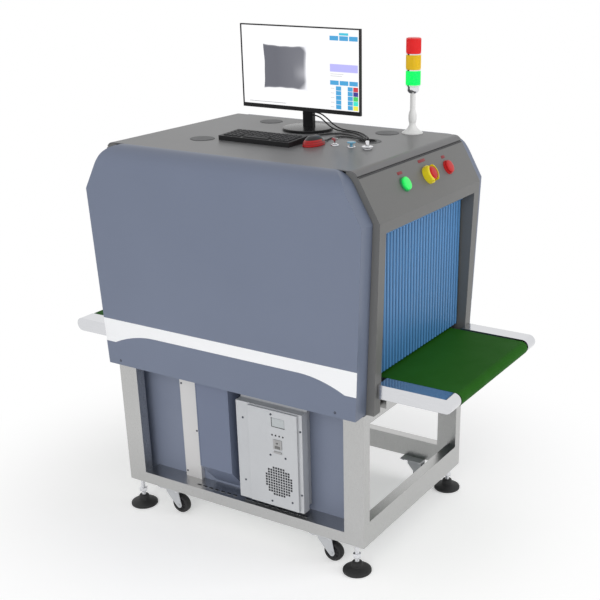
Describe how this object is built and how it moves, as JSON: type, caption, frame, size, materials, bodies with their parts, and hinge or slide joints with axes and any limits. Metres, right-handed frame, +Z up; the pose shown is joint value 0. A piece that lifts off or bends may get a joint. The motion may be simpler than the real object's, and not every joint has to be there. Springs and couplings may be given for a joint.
{
  "type": "x-ray inspection machine",
  "caption": "Belt-fed x-ray inspection machine: shielded tunnel with strip curtains, sloping console, deck with tilting monitor, signal tower, tube base on levelling feet and casters.",
  "frame": {"origin": "on the floor, under the middle of the tunnel", "axes": "+X along the belt to the outfeed end with the console, -Y the front where the keyboard and monitor face, +Z up"},
  "size_m": [1.598, 0.86, 1.777],
  "materials": {
    "stainless": "brushed stainless tube",
    "blue_grey": "blue-grey satin paint",
    "light_grey": "light grey satin paint",
    "deck_grey": "grey gloss paint",
    "polished_rail": "bright rolled sheet",
    "lead_steel": "lead-lined painted sheet",
    "belt_green": "green conveyor belt, smooth",
    "curtain_blue": "leaded blue rubber strips",
    "roller_steel": "turned steel",
    "bed_steel": "folded stainless sheet",
    "cast_alloy": "cast and machined alloy",
    "black_plastic": "matte black plastic",
    "red_plastic": "gloss red plastic",
    "green_button": "lit green plastic",
    "yellow_plastic": "gloss yellow plastic",
    "lens_red": "translucent red lens",
    "lens_yellow": "translucent yellow lens",
    "lens_green": "translucent green lens",
    "white_plastic": "white plastic",
    "chrome_trim": "chrome",
    "rubber_black": "black rubber",
    "caster_tread": "black polyurethane tread",
    "blue_button": "blue and white push button"
  },
  "bodies": {
    "machine": {"base_frame": "stainless", "caster_mounts": "light_grey", "front_base_panel": "blue_grey", "duct_column": "blue_grey", "wireway_cover": "light_grey", "drive_cabinet": "light_grey", "front_cover": "blue_grey", "rear_cover": "blue_grey", "top_deck": "deck_grey", "deck_discs": "deck_grey", "outfeed_console": "deck_grey", "infeed_console": "deck_grey", "end_posts": "deck_grey", "tunnel_walls": "lead_steel", "tunnel_roof": "lead_steel", "curtain_rods": "roller_steel", "conveyor_frame": "bed_steel", "slider_bed": "bed_steel", "belt": "belt_green", "conveyor_rails": "polished_rail", "xray_generator": "cast_alloy", "detector_array": "cast_alloy", "monitor_stand": "black_plastic", "keyboard_case": "black_plastic", "mouse_body": "red_plastic", "tower_stand": "white_plastic", "lens_red": "lens_red", "lens_yellow": "lens_yellow", "lens_green": "lens_green", "control_bezels": "chrome_trim", "power_cable": "rubber_black", "video_cable": "rubber_black", "emergency_guard": "yellow_plastic", "keyboard_cable": "rubber_black", "mouse_cable": "rubber_black"},
    "caster_fork_outfeed_front": {"caster_fork_outfeed_front": "light_grey"},
    "caster_fork_outfeed_rear": {"caster_fork_outfeed_rear": "light_grey"},
    "caster_wheel_infeed_front": {"caster_wheel_infeed_front": "caster_tread"},
    "caster_wheel_infeed_rear": {"caster_wheel_infeed_rear": "caster_tread"},
    "caster_wheel_outfeed_front": {"caster_wheel_outfeed_front": "caster_tread"},
    "caster_wheel_outfeed_rear": {"caster_wheel_outfeed_rear": "caster_tread"},
    "deck_button": {"deck_button": "blue_button"},
    "deck_knob": {"deck_knob": "chrome_trim"},
    "drive_roller": {"drive_roller": "roller_steel"},
    "emergency_button": {"emergency_button": "red_plastic"},
    "fan_rotor": {"fan_rotor": "black_plastic"},
    "foot_infeed_front": {"foot_infeed_front": "rubber_black"},
    "foot_infeed_rear": {"foot_infeed_rear": "rubber_black"},
    "foot_outfeed_front": {"foot_outfeed_front": "rubber_black"},
    "foot_outfeed_rear": {"foot_outfeed_rear": "rubber_black"},
    "infeed_curtain": {"infeed_curtain": "curtain_blue"},
    "key_switch": {"key_switch": "chrome_trim"},
    "keyboard_keys": {"keyboard_keys": "black_plastic"},
    "monitor": {"monitor": "black_plastic"},
    "mouse_buttons": {"mouse_buttons": "black_plastic"},
    "mouse_wheel": {"mouse_wheel": "rubber_black"},
    "outfeed_curtain": {"outfeed_curtain": "curtain_blue"},
    "start_button": {"start_button": "green_button"},
    "stop_button": {"stop_button": "red_plastic"},
    "tail_roller": {"tail_roller": "roller_steel"}
  },
  "joints": [
    {"name": "infeed_front_level", "type": "slide", "parent": "machine", "child": "foot_infeed_front", "axis": [0, 0, -1], "range_m": [0, 0.03]},
    {"name": "outfeed_front_level", "type": "slide", "parent": "machine", "child": "foot_outfeed_front", "axis": [0, 0, -1], "range_m": [0, 0.03]},
    {"name": "infeed_rear_level", "type": "slide", "parent": "machine", "child": "foot_infeed_rear", "axis": [0, 0, -1], "range_m": [0, 0.03]},
    {"name": "outfeed_rear_level", "type": "slide", "parent": "machine", "child": "foot_outfeed_rear", "axis": [0, 0, -1], "range_m": [0, 0.03]},
    {"name": "infeed_front_roll", "type": "hinge", "parent": "machine", "child": "caster_wheel_infeed_front", "pos_m": [-0.314, -0.342, 0.0415], "axis": [0, 1, 0], "continuous": true},
    {"name": "outfeed_front_swivel", "type": "hinge", "parent": "machine", "child": "caster_fork_outfeed_front", "pos_m": [0.35, -0.342, 0.1], "axis": [0, 0, 1], "continuous": true},
    {"name": "outfeed_front_roll", "type": "hinge", "parent": "caster_fork_outfeed_front", "child": "caster_wheel_outfeed_front", "pos_m": [0.386, -0.342, 0.0415], "axis": [0, 1, 0], "continuous": true},
    {"name": "infeed_rear_roll", "type": "hinge", "parent": "machine", "child": "caster_wheel_infeed_rear", "pos_m": [-0.314, 0.342, 0.0415], "axis": [0, 1, 0], "continuous": true},
    {"name": "outfeed_rear_swivel", "type": "hinge", "parent": "machine", "child": "caster_fork_outfeed_rear", "pos_m": [0.35, 0.342, 0.1], "axis": [0, 0, 1], "continuous": true},
    {"name": "outfeed_rear_roll", "type": "hinge", "parent": "caster_fork_outfeed_rear", "child": "caster_wheel_outfeed_rear", "pos_m": [0.386, 0.342, 0.0415], "axis": [0, 1, 0], "continuous": true},
    {"name": "outfeed_curtain_swing", "type": "hinge", "parent": "machine", "child": "outfeed_curtain", "pos_m": [0.53, 0, 1.212], "axis": [0, 1, 0], "range_deg": [-70, 70]},
    {"name": "infeed_curtain_swing", "type": "hinge", "parent": "machine", "child": "infeed_curtain", "pos_m": [-0.53, 0, 1.212], "axis": [0, 1, 0], "range_deg": [-70, 70]},
    {"name": "drive_roller_spin", "type": "hinge", "parent": "machine", "child": "drive_roller", "pos_m": [0.8117, 0, 0.7027], "axis": [0, 1, 0], "continuous": true},
    {"name": "tail_roller_spin", "type": "hinge", "parent": "machine", "child": "tail_roller", "pos_m": [-0.7377, 0, 0.7027], "axis": [0, 1, 0], "continuous": true},
    {"name": "fan_spin", "type": "hinge", "parent": "machine", "child": "fan_rotor", "pos_m": [0.182, -0.363, 0.284], "axis": [0, 1, 0], "continuous": true},
    {"name": "monitor_tilt", "type": "hinge", "parent": "machine", "child": "monitor", "pos_m": [-0.034, 0.196, 1.6], "axis": [1, 0, 0], "range_deg": [-18, 3]},
    {"name": "keys_press", "type": "slide", "parent": "machine", "child": "keyboard_keys", "axis": [0, 0.0614, -0.9981], "range_m": [0, 0.002], "stiffness_N_per_m": 1500, "springref_m": -0.002},
    {"name": "mouse_click", "type": "slide", "parent": "machine", "child": "mouse_buttons", "axis": [0, 0, -1], "range_m": [0, 0.0008], "stiffness_N_per_m": 900, "springref_m": -0.0005},
    {"name": "mouse_scroll", "type": "hinge", "parent": "machine", "child": "mouse_wheel", "pos_m": [0.152, -0.036, 1.44], "axis": [1, 0, 0], "continuous": true},
    {"name": "start_press", "type": "slide", "parent": "machine", "child": "start_button", "axis": [-0.866, 0, -0.5], "range_m": [0, 0.004], "stiffness_N_per_m": 900, "springref_m": -0.003},
    {"name": "stop_press", "type": "slide", "parent": "machine", "child": "stop_button", "axis": [-0.866, 0, -0.5], "range_m": [0, 0.004], "stiffness_N_per_m": 900, "springref_m": -0.003},
    {"name": "emergency_press", "type": "slide", "parent": "machine", "child": "emergency_button", "axis": [-0.866, 0, -0.5], "range_m": [0, 0.005]},
    {"name": "key_turn", "type": "hinge", "parent": "machine", "child": "key_switch", "pos_m": [0.214, -0.027, 1.42], "axis": [0, 0, 1], "range_deg": [0, 90]},
    {"name": "deck_button_press", "type": "slide", "parent": "machine", "child": "deck_button", "axis": [0, 0, -1], "range_m": [0, 0.003], "stiffness_N_per_m": 600, "springref_m": -0.002},
    {"name": "knob_turn", "type": "hinge", "parent": "machine", "child": "deck_knob", "pos_m": [0.341, -0.027, 1.42], "axis": [0, 0, 1], "range_deg": [0, 90]}
  ],
  "couplings": [
    {"joint": "tail_roller_spin", "follows": "drive_roller_spin", "ratio": 1}
  ]
}
